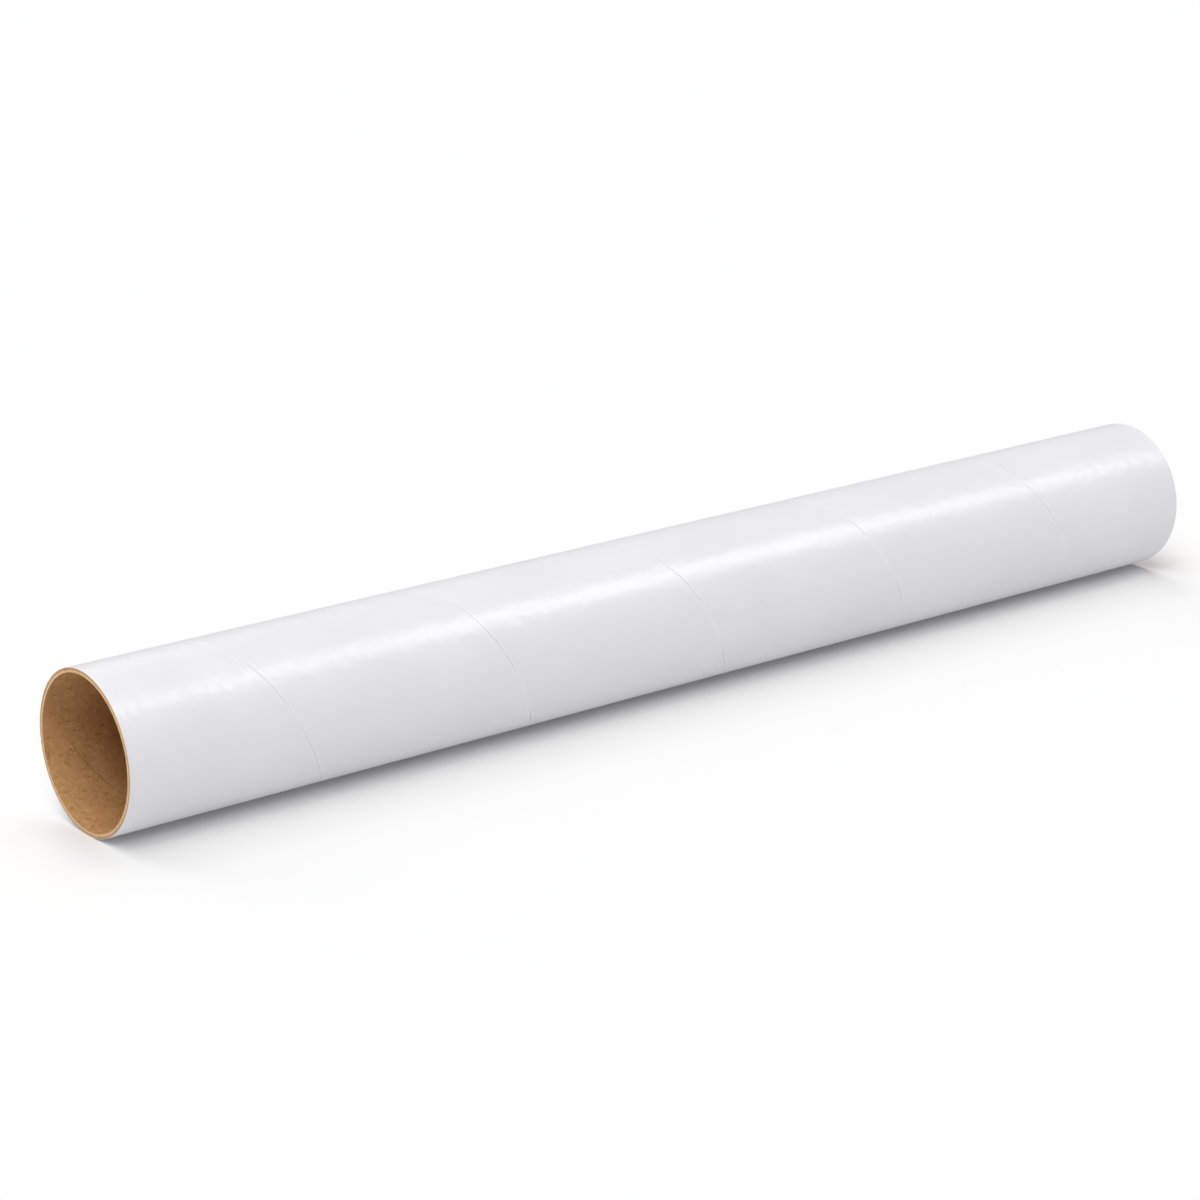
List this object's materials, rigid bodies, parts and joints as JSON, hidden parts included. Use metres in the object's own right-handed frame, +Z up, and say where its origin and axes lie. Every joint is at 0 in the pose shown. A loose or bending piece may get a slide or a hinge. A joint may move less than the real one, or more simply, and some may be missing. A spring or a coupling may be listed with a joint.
{
  "type": "cardboard mailing tube",
  "caption": "Open-ended cardboard mailing tube, spiral-wound from kraft paper with a white outer wrap, for posting rolled papers.",
  "frame": {"origin": "middle of the cut end that the tube stands on", "axes": "+Z up the tube's axis, towards the open end that the picture shows; +X is the side that is uppermost in the picture"},
  "size_m": [0.0538, 0.0538, 0.4572],
  "materials": {
    "kraft_board": "matte",
    "white_paper": "satin",
    "kraft_paper": "matte"
  },
  "bodies": {
    "root": {"kraft_core": "kraft_board", "white_wrap": "white_paper", "kraft_liner": "kraft_paper"}
  },
  "joints": []
}
